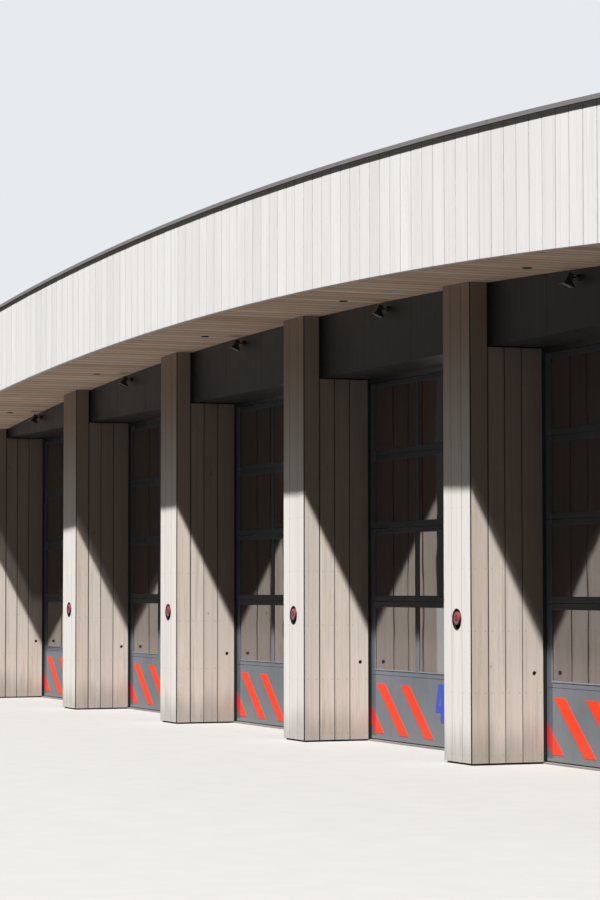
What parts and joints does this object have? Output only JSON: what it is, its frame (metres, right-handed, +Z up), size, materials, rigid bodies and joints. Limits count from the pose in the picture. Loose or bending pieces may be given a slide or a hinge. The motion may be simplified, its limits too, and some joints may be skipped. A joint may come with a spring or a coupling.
{
  "type": "ambulance station",
  "caption": "Straight garage building with a row of glazed sectional doors between timber fins, under a deep boarded roof edge that rises in a low arch.",
  "frame": {"origin": "middle of the plan at ground level", "axes": "+Z up, +X to the right seen from the doors, the doors face -Y"},
  "size_m": [25.483, 11.908, 5.356],
  "materials": {
    "timber": "weathered greige vertical boards",
    "fascia": "pale silver stained vertical boards",
    "soffit": "brown grey boards",
    "lintel": "anthracite sheet, satin",
    "door": "grey powder coat, satin",
    "glass": "tinted double glazing",
    "frame": "black powder coat",
    "coping": "mill finish sheet",
    "seal": "black rubber",
    "sensor": "dark eye",
    "roof": "grey roofing membrane",
    "concrete": "power floated concrete",
    "bezel": "black tube",
    "lens": "red moulded lens",
    "lamp": "black housing"
  },
  "bodies": {
    "root": {"floor_slab": "concrete", "fin_1": "timber", "fin_2": "timber", "fin_3": "timber", "fin_4": "timber", "fin_5": "timber", "fin_6": "timber", "fin_7": "timber", "end_wall_left": "timber", "end_wall_right": "timber", "rear_wall": "timber", "lintel_1": "lintel", "door_1_leaf": "door", "door_1_glass": "glass", "lintel_2": "lintel", "door_2_leaf": "door", "door_2_glass": "glass", "lintel_3": "lintel", "door_3_leaf": "door", "door_3_glass": "glass", "lintel_4": "lintel", "door_4_leaf": "door", "door_4_glass": "glass", "lintel_5": "lintel", "door_5_leaf": "door", "door_5_glass": "glass", "lintel_6": "lintel", "door_6_leaf": "door", "door_6_glass": "glass", "door_frames": "frame", "door_bottom_seals": "seal", "soffit": "soffit", "fascia_front": "fascia", "fascia_rear": "fascia", "fascia_left": "fascia", "fascia_right": "fascia", "parapet": "roof", "coping": "coping", "roof_deck": "roof", "beacon_bezels": "bezel", "beacon_lenses": "lens", "photocells": "sensor", "downlights": "lamp", "spotlights": "lamp"}
  },
  "joints": []
}
